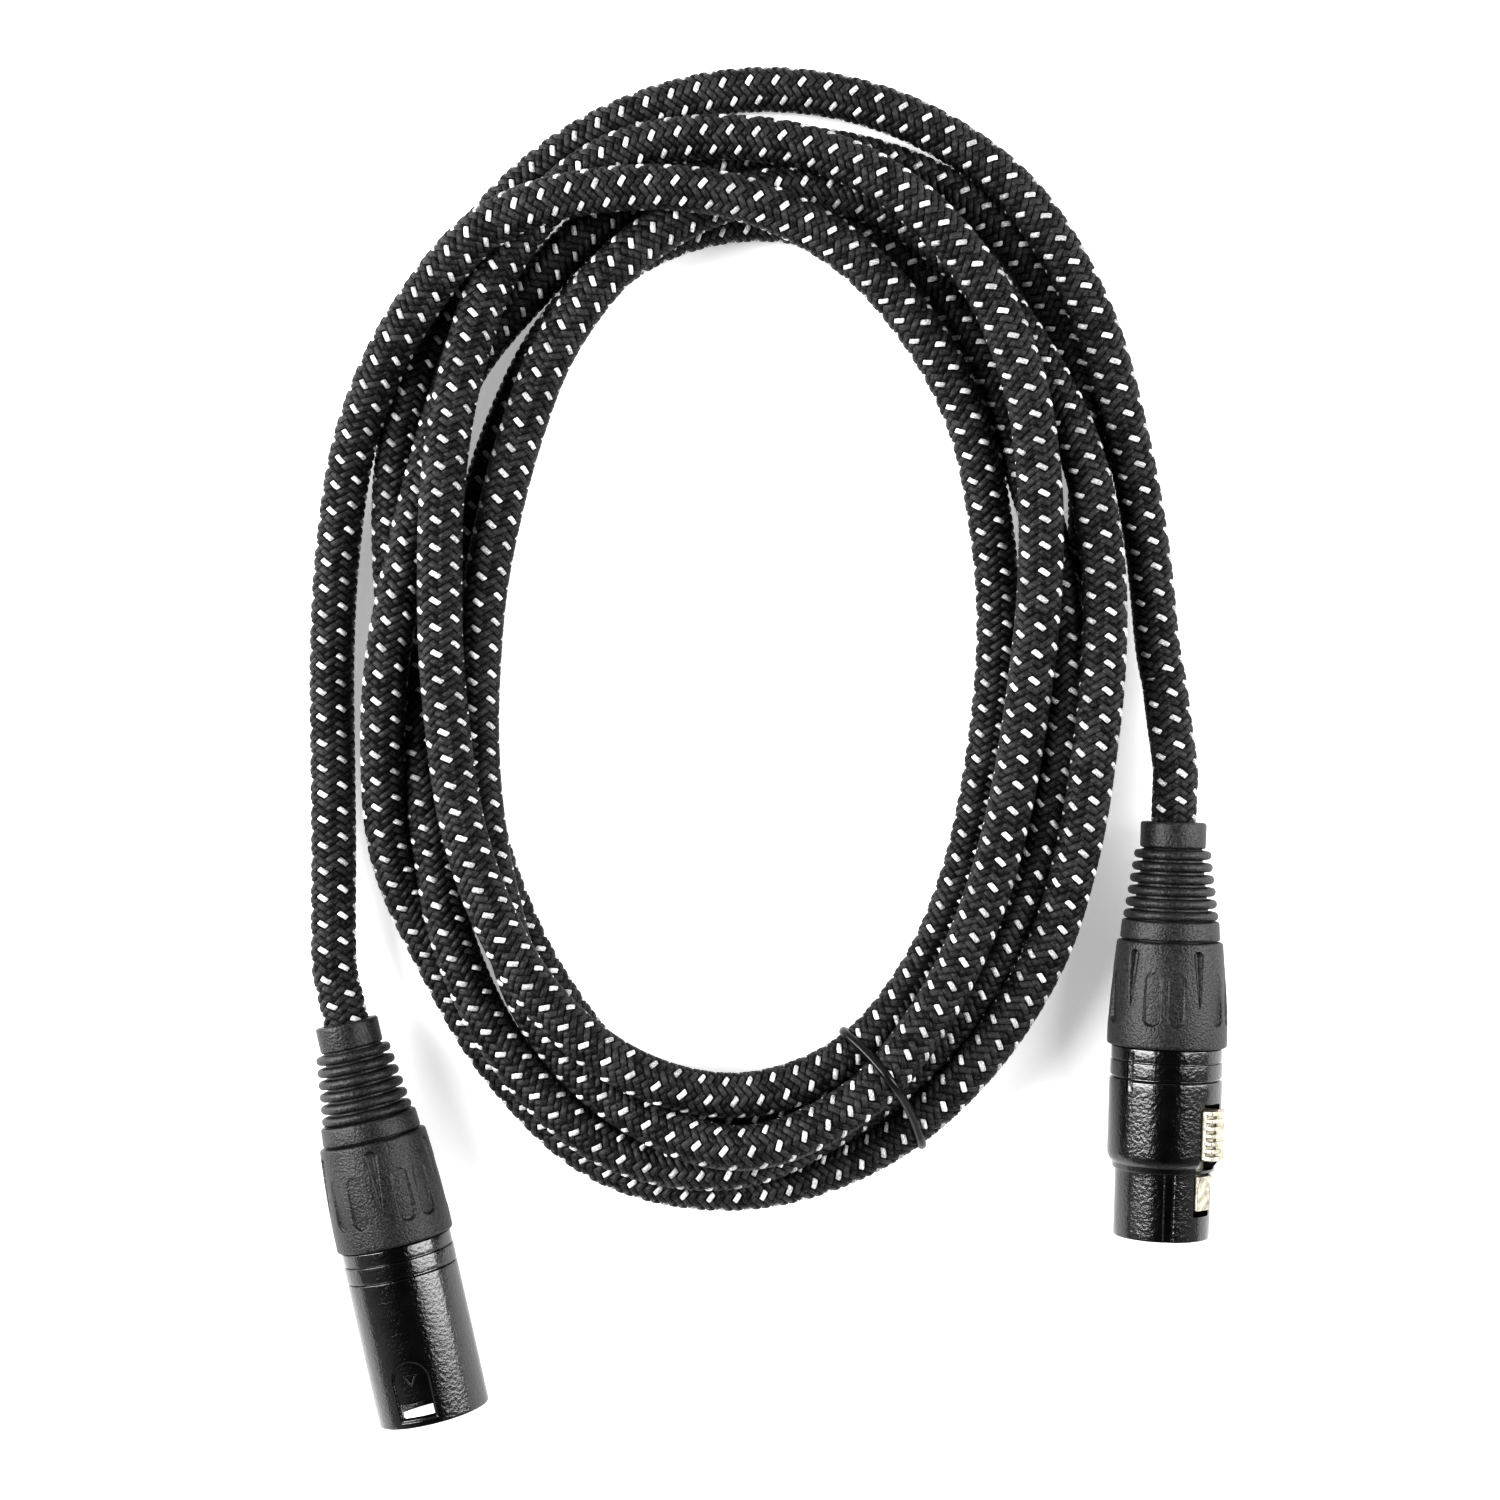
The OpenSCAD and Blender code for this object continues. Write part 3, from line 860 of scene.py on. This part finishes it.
def male_shell():
    """Barrel with an open mouth, turned rings, a recess and a window."""
    z = SHELL_START
    r = MALE_BARREL_R
    corners = [(MALE_BORE_R, z - NECK_LEN, 0), (NECK_R, z - NECK_LEN, 0.25), (NECK_R, z, 0.05)]
    corners += shell_ring_profile(r)
    corners += [(r, z + 5.4, 0.15), (r, MALE_LEN, 0.45), (MALE_CAVITY_R, MALE_LEN, 0.35),
                (MALE_CAVITY_R, CAVITY_FLOOR, 0.1), (MALE_BORE_R, CAVITY_FLOOR, 0)]
    profile = refined(rounded(corners), 0.5)

    def shape(angle, radius, along):
        """The shallow arched recess with its small triangle, and its rim."""
        x = np.radians(angle_off(angle, MALE_ROLL)) * r
        half = WINDOW_W / 2 + RECESS_EXTRA
        arch = WINDOW_START - ARCH_LEN
        away = np.where(along < arch, np.hypot(x, along - arch), np.abs(x)) - half
        away = np.maximum(away, along - (WINDOW_START + WINDOW_LEN + 0.5))
        dent = RECESS_DEPTH * smoothstep(0.12, -0.22, away)
        side = np.clip((arch + MARK_HALF_LENGTH - along) * MARK_SLOPE, 0, MARK_HALF_WIDTH)
        sides = np.abs(np.abs(x) - side) < 0.12
        sides &= (along > arch - MARK_HALF_LENGTH) & (along < arch + MARK_HALF_LENGTH)
        base = np.abs(along - (arch - MARK_HALF_LENGTH)) < 0.1
        base &= np.abs(x) < MARK_HALF_WIDTH
        dent = dent - MARK_HEIGHT * (sides | base)
        return np.where(radius > r - RECESS_DEPTH, -dent, 0)

    made = fine_lathe("male_shell_body", profile, MALE, MALE_ROLL, shape)
    turn = MALE @ Matrix.Rotation(math.radians(MALE_ROLL), 4, "Z")
    half = WINDOW_W / 2 - 0.3
    window = block("cutter", (4, -half, WINDOW_START), (12, half, WINDOW_START + WINDOW_LEN), turn, 0.25)
    cut_away(made, [window])
    return made


def fine_lathe(name, profile, matrix, focus, shape):
    """A lathe whose sides lie closer together near one clock angle."""
    near = np.arange(-FINE_HALF, FINE_HALF + 0.01, FINE_STEP) + focus
    rest_half = FINE_HALF + COARSE_STEP
    rest = np.arange(focus + rest_half, focus + 360 - rest_half + 1, COARSE_STEP)
    fine = []
    for a, b in zip(profile[:-1], profile[1:]):
        pieces = 1
        if min(a[0], b[0]) > MALE_BARREL_R - 0.2 and b[1] > WINDOW_START - FINE_REACH:
            pieces = max(1, int(math.ceil(np.linalg.norm(b - a) / FINE_ROW)))
        fine += [a + (b - a) * k / pieces for k in range(pieces)]
    profile = np.array(fine + [profile[-1]])
    return turned(name, profile, np.concatenate([near, rest]), matrix, shape)


FEMALE_BODY_R = 9.52
NOSE_R = 8.08
BODY_END = 56.8
FEMALE_INNER_R = 7.3
KEY_CHAMFER_R = 7.88
KEY_HALF_WIDTH = 0.7
KEY_WIDENING = 2.5
# Start and end of the latch's slot, of its window in the nose and of the seam.
LATCH_SLOT = (47.0, 58.15)
NOSE_WINDOW = (58.8, 66.0)
SEAM = (38.6, 45.4)
SEAM_DEPTH = 0.42
LATCH_CUT_R = 6.4
PAST_MOUTH = 80


def widened_key(p):
    """The outer half of the key slot's chamfer cutter, spread sideways."""
    widening = KEY_WIDENING if p.x > KEY_CHAMFER_R + 0.3 else 1
    return Vector((p.x, p.y * widening, p.z))


def female_shell():
    """Barrel with a nose, cut for the latch, the key slot and the seam."""
    z = SHELL_START
    r = FEMALE_BODY_R
    corners = [(FEMALE_INNER_R, z - NECK_LEN, 0), (NECK_R, z - NECK_LEN, 0.25), (NECK_R, z, 0.05)]
    corners += shell_ring_profile(r - 0.1)
    corners += [(r, z + 5.5, 0.3), (r, BODY_END, 0.9), (NOSE_R + 0.62, BODY_END + 0.95, 0.15),
                (NOSE_R + 0.5, BODY_END + 1.9, 0.15), (NOSE_R, BODY_END + 2.0, 0.1),
                (NOSE_R, FEMALE_LEN, 0.35), (FEMALE_INNER_R, FEMALE_LEN, 0.1),
                (FEMALE_INNER_R, FEMALE_LEN - 1.0, 0)]
    made = lathe("female_shell_body", refined(rounded(corners), 1.0), FEMALE, sides=200)
    turn = FEMALE @ Matrix.Rotation(math.radians(LATCH_ANGLE), 4, "Z")
    seam = FEMALE @ Matrix.Rotation(math.radians(SEAM_ANGLE), 4, "Z")
    key = KEY_HALF_WIDTH
    cutters = [
        block("cutter", (LATCH_CUT_R, -2.7, LATCH_SLOT[0]), (14, 2.7, LATCH_SLOT[1]), turn, 0.4),
        block("cutter", (LATCH_CUT_R, -2.2, NOSE_WINDOW[0]), (14, 2.2, NOSE_WINDOW[1]), turn, 0.4),
        block("cutter", (NOSE_R - 0.6, -key, BODY_END + 2.2), (11, key, PAST_MOUTH), FEMALE, 0.12),
        block("cutter", (KEY_CHAMFER_R, -key - 0.04, BODY_END + 2.0),
              (KEY_CHAMFER_R + 0.64, key + 0.04, PAST_MOUTH), FEMALE, taper=widened_key),
        block("cutter", (r - SEAM_DEPTH, -0.7, SEAM[0]), (12, 0.7, SEAM[1]), seam, 0.15),
    ]
    cut_away(made, cutters)
    return made


# ---------------------------------------------------------------- latch

# Inner face of the bar, whose outer face is BAR_THICK further out.
BAR_U = 5.9
BAR_THICK = 1
BAR_HALF_WIDTH = 1.9
PAD_HALF_WIDTH = 2.35
CATCH_HALF_WIDTH = 1.85
PAD_RIBS = 7
RIB_START = 47.95
RIB_PITCH = 1.26
RIB_WIDTH = 0.78
CATCH_KNEE = 61.4
CATCH_LEAN = 0.28


def latch():
    """Sprung lever: hub, bar, ribbed push pad and bent catch."""
    turn = FEMALE @ Matrix.Rotation(math.radians(LATCH_ANGLE), 4, "Z")
    top = BAR_U + BAR_THICK
    bar, pad, catch = BAR_HALF_WIDTH, PAD_HALF_WIDTH, CATCH_HALF_WIDTH

    def leaned(p):
        """The catch's outer face, further out the further it is from the knee."""
        return Vector((p.x + (CATCH_KNEE - p.z) * CATCH_LEAN * (p.x > top), p.y, p.z))

    parts = [
        block("part", (BAR_U, -bar, 47.6), (top, bar, 65.2), turn, 0.15),
        block("part", (BAR_U - 0.4, -bar, 44.6), (top, 0.9, 48.2), turn, 0.35),
        block("part", (top - 0.1, -pad, 47.9), (top + 3.1, pad, 56.4), turn, 0.35),
        block("part", (top + 2.9, -pad, 47.8), (top + 3.6, -0.2, 56.5), turn, 0.2),
    ]
    for i in range(PAD_RIBS):
        z = RIB_START + RIB_PITCH * i
        parts.append(block("part", (top + 2.6, -0.7, z), (top + 4.2, 2.4, z + RIB_WIDTH), turn, 0.22))
    parts.append(block("part", (top - 0.1, -catch, 59.1), (top + 1.3, catch, CATCH_KNEE), turn, 0.15,
                       taper=leaned))
    parts.append(block("part", (top - 0.1, -catch, 61.2), (top + 1.35, catch, 65.0), turn, 0.2))
    return joined("latch_lever_body", parts)


# ---------------------------------------------------------------- tie

TIE_ANGLE = -55.4
TIE_WIDTH = 1.5
TIE_THICK = 0.85
# How far the strap's top bows along the cable, between these two heights.
TIE_BOW = 2.1
BOW_HEIGHTS = (2, 9)
TIE_REACH = 22
TIE_SLACK = 0.06
TIE_FLOOR_GAP = 0.02
STRAND_POINTS = 48
RING_POINTS = 120
SMOOTH_ROUNDS = 4


def tie():
    """A narrow strap drawn tight round the bundle, without a head."""
    across = np.array((math.cos(math.radians(TIE_ANGLE)), math.sin(math.radians(TIE_ANGLE)), 0))
    along = np.array((-across[1], across[0], 0))
    centre = np.array((*TIE_CENTRE, 0))
    off = (ROUTE - centre) @ along
    crossing = np.nonzero((off[:-1] * off[1:] <= 0)
                          & (np.linalg.norm((ROUTE - centre)[:-1, :2], axis=1) < TIE_REACH))[0]
    circles = [((ROUTE[i] - centre) @ across, ROUTE[i][2]) for i in crossing]
    rim_r = CABLE_R + TIE_SLACK
    rim = []
    for x, z in circles:
        for k in range(STRAND_POINTS):
            a = 2 * math.pi * k / STRAND_POINTS
            rim.append((x + rim_r * math.cos(a), z + rim_r * math.sin(a)))
    hull = np.array([(x, max(z, TIE_THICK + TIE_FLOOR_GAP)) for x, z in convex_hull(rim)])
    closed = np.vstack([hull, hull[:1]])
    run = np.concatenate([[0], np.cumsum(np.linalg.norm(np.diff(closed, axis=0), axis=1))])
    want = np.linspace(0, run[-1], RING_POINTS + 1)[:-1]
    ring = np.column_stack([np.interp(want, run, closed[:, k]) for k in range(2)])
    for _ in range(SMOOTH_ROUNDS):
        ring = (np.roll(ring, 1, 0) + 2 * ring + np.roll(ring, -1, 0)) / 4
    chord = np.roll(ring, -1, 0) - np.roll(ring, 1, 0)
    outward = np.column_stack([chord[:, 1], -chord[:, 0]])
    outward /= np.linalg.norm(outward, axis=1)[:, None]
    half = TIE_WIDTH / 2
    reach = np.abs(ring[:, 0]).max()
    section = [(-half, 0.08), (-half + 0.12, 0), (half - 0.12, 0), (half, 0.08), (half, 0.35),
               (half - 0.3, TIE_THICK - 0.12), (half - 0.6, TIE_THICK), (0, TIE_THICK - 0.06),
               (-half + 0.6, TIE_THICK), (-half + 0.3, TIE_THICK - 0.12), (-half, 0.35)]
    points = []
    for (x, z), n in zip(ring, outward):
        for side, lift in section:
            p = (x + n[0] * lift, max(z + n[1] * lift, TIE_FLOOR_GAP))
            bow = TIE_BOW * (1 - (x / reach) ** 2) * smoothstep(*BOW_HEIGHTS, z)
            points.append(centre + across * p[0] + along * (side + bow) + np.array((0, 0, p[1])))
    strap = add_mesh("strap", points, ring_faces(len(ring), len(section)))
    tidy_mesh(strap, 50)
    return strap


def convex_hull(points):
    """Hull of 2-D points, counter-clockwise."""
    points = sorted(set((round(x, 5), round(y, 5)) for x, y in points))

    def half(run):
        out = []
        for p in run:
            while len(out) >= 2 and ((out[-1][0] - out[-2][0]) * (p[1] - out[-2][1])
                                     - (out[-1][1] - out[-2][1]) * (p[0] - out[-2][0])) <= 0:
                out.pop()
            out.append(p)
        return out[:-1]

    return half(points) + half(points[::-1])


# ---------------------------------------------------------------- more materials


def grain_material(name, dark, light, rough, grain_mm, depth_mm, patch=0.12):
    """Moulded plastic or rubber with a fine grain."""
    n = Nodes(name)
    grain = n.noise(1000 / grain_mm, 2.0)
    broad = n.noise(1000 / 6.0, 2.0)
    shade = n.math("ADD", n.math("MULTIPLY", grain, 0.8), n.math("MULTIPLY", broad, 0.25))
    wear = n.math("ADD", n.math("MULTIPLY", grain, 0.6), n.math("MULTIPLY", broad, 0.4))
    n.colour(n.ramp(shade, [(0.35, dark), (0.7, light)]))
    n.rough(n.levels(wear, rough - patch, rough + patch))
    n.shader.inputs["Specular IOR Level"].default_value = 0.38
    n.bump(grain, 1.0, depth_mm)
    return n.material


def paint_material():
    """Gloss black enamel with a fine orange peel."""
    n = Nodes("shell_paint")
    peel = n.noise(1000 / 0.6, 2.0)
    broad = n.noise(1000 / 5.0, 2.0)
    n.colour(n.ramp(broad, [(0.3, grey(0.001)), (0.7, grey(0.003))]))
    n.rough(n.levels(broad, 0.14, 0.26))
    n.bump(peel, 1.0, 0.09)
    n.shader.inputs["Coat Weight"].default_value = 0.4
    n.shader.inputs["Coat Roughness"].default_value = 0.12
    return n.material


def metal_material(name, dark, light, rough, metallic=1.0):
    """Metal with faint wear."""
    n = Nodes(name)
    wear = n.noise(1000 / 1.2, 4.0)
    fine = n.noise(1000 / 0.2, 2.0)
    n.colour(n.ramp(wear, [(0.3, dark), (0.7, light)]))
    n.rough(n.levels(fine, rough - 0.08, rough + 0.12))
    n.shader.inputs["Metallic"].default_value = metallic
    n.bump(fine, 0.4, 0.01)
    return n.material


# ---------------------------------------------------------------- build

cable = cable_object(ROUTE)
cable.data.materials.append(core_material())
BLACK = grey(0.0005)
cable.data.materials.append(yarn_material("yarn_black", BLACK, (0.045, 0.045, 0.046), 0.42, 0.0, 0.2))
cable.data.materials.append(yarn_material("yarn_white", grey(0.3), grey(0.93), 0.4, 0.1, 0.4))
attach(cable, "cable")
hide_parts("cable_coil", "cable_tail_male", "cable_tail_female")

rubber = grain_material("boot_rubber", BLACK, (0.03, 0.03, 0.031), 0.42, 0.42, 0.16)
plastic = grain_material("sleeve_plastic", BLACK, (0.026, 0.026, 0.027), 0.4, 0.38, 0.16)
paint = paint_material()
nylon = grain_material("tie_nylon", grey(0.001), grey(0.008), 0.3, 0.5, 0.02)
insert_plastic = grain_material("insert_plastic", (0.006, 0.006, 0.007), (0.02, 0.02, 0.021),
                                0.45, 0.3, 0.03)
chuck_plastic = grain_material("chuck_plastic", (0.03, 0.03, 0.034), (0.06, 0.06, 0.065), 0.5, 0.3, 0.03)
latch_metal = metal_material("latch_metal", (0.24, 0.22, 0.17), (0.58, 0.55, 0.47), 0.3, 0.8)
steel = metal_material("steel", (0.45, 0.45, 0.46), (0.6, 0.6, 0.62), 0.3)
silver = metal_material("contact_silver", (0.7, 0.7, 0.7), (0.86, 0.86, 0.87), 0.22)
brass = metal_material("contact_brass", (0.6, 0.47, 0.2), (0.8, 0.65, 0.32), 0.26)
wire_bare = metal_material("wire_bare", grey(0.6), grey(0.72), 0.35)
wire_red = grain_material("wire_red", (0.3, 0.01, 0.012), (0.42, 0.02, 0.02), 0.4, 0.6, 0.01)
wire_white = grain_material("wire_white", grey(0.65), grey(0.8), 0.4, 0.6, 0.01)

male_boot = boot("male_boot_body", MALE, 5.35, 6.4, 7.7, 8.4)
female_boot = boot("female_boot_body", FEMALE, 5.55, 6.5, 8.0, 8.45)
male_sleeve = sleeve("male_sleeve_body", MALE, 9.1, 9.95, -3.0)
female_sleeve = sleeve("female_sleeve_body", FEMALE, 8.9, 10.1, -24.0)
finish_piece(male_boot, rubber, "male_boot", "male_boot")
finish_piece(female_boot, rubber, "female_boot", "female_boot")
finish_piece(male_sleeve, plastic, "male_sleeve", "male_sleeve")
finish_piece(female_sleeve, plastic, "female_sleeve", "female_sleeve")
finish_piece(male_shell(), paint, "cable", "male_shell")
finish_piece(female_shell(), paint, "cable", "female_shell")
finish_piece(latch(), latch_metal, "latch", "latch_lever")
finish_piece(tie(), nylon, "cable", "cable_tie")

NODE_MATERIALS = {
    "male_insert": insert_plastic, "female_insert": insert_plastic,
    "male_chuck": chuck_plastic, "female_chuck": chuck_plastic,
    "latch_pin": steel, "latch_spring": steel,
    "male_wire_1": wire_bare, "male_wire_2": wire_red, "male_wire_3": wire_white,
    "female_wire_1": wire_bare, "female_wire_2": wire_red, "female_wire_3": wire_white,
}
for k in (1, 2, 3):
    NODE_MATERIALS[f"male_pin_{k}"] = silver
    NODE_MATERIALS[f"female_contact_{k}"] = brass
for name, material in NODE_MATERIALS.items():
    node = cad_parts[name]
    node.data.materials.clear()
    node.data.materials.append(material)

# ---------------------------------------------------------------- stage


# The floor's half side and the lights' places are in metres.
FLOOR_HALF = 1.5
FLOOR_GLOW = 0.45
ROOM_STRENGTH = 0.8
WALL_GREY = 0.9
CEILING_GREY = 0.02
# Below 1 it darkens the dark and middle tones.
VIEW_GAMMA = 0.8


def add_floor():
    """The white ground, which glows a little."""
    size = FLOOR_HALF
    mesh = bpy.data.meshes.new("floor")
    mesh.from_pydata([(-size, -size, 0), (size, -size, 0), (size, size, 0), (-size, size, 0)], [],
                     [(0, 1, 2, 3)])
    floor = bpy.data.objects.new("floor", mesh)
    bpy.context.scene.collection.objects.link(floor)
    n = Nodes("floor")
    n.shader.inputs["Base Color"].default_value = (*grey(0.93), 1)
    n.shader.inputs["Roughness"].default_value = 0.85
    n.shader.inputs["Emission Color"].default_value = (1, 1, 1, 1)
    n.shader.inputs["Emission Strength"].default_value = FLOOR_GLOW
    mesh.materials.append(n.material)


def add_light(name, place, size, power):
    """An area light that faces the origin."""
    data = bpy.data.lights.new(name, "AREA")
    data.shape = "RECTANGLE"
    data.size, data.size_y = size
    data.energy = power
    light = bpy.data.objects.new(name, data)
    light.location = place
    light.rotation_euler = (-Vector(place)).to_track_quat("-Z", "Y").to_euler()
    bpy.context.scene.collection.objects.link(light)


def add_world():
    """A pale room with a darker ceiling, where the camera is."""
    world = bpy.data.worlds.new("studio")
    world.use_nodes = True
    tree = world.node_tree
    place = tree.nodes.new("ShaderNodeTexCoord")
    split = tree.nodes.new("ShaderNodeSeparateXYZ")
    ramp = tree.nodes.new("ShaderNodeValToRGB")
    ramp.color_ramp.elements[0].position = 0.35
    ramp.color_ramp.elements[0].color = (*grey(WALL_GREY), 1)
    ramp.color_ramp.elements[1].position = 0.9
    ramp.color_ramp.elements[1].color = (*grey(CEILING_GREY), 1)
    tree.links.new(place.outputs["Generated"], split.inputs[0])
    tree.links.new(split.outputs["Z"], ramp.inputs["Fac"])
    tree.links.new(ramp.outputs["Color"], tree.nodes["Background"].inputs["Color"])
    tree.nodes["Background"].inputs["Strength"].default_value = ROOM_STRENGTH
    bpy.context.scene.world = world


add_floor()
add_light("left", (-0.75, 0.1, 0.5), (0.4, 0.9), 22)
add_light("right", (0.75, 0.1, 0.5), (0.35, 0.9), 13)
add_world()
bpy.context.scene.view_settings.view_transform = "Standard"
bpy.context.scene.view_settings.gamma = VIEW_GAMMA
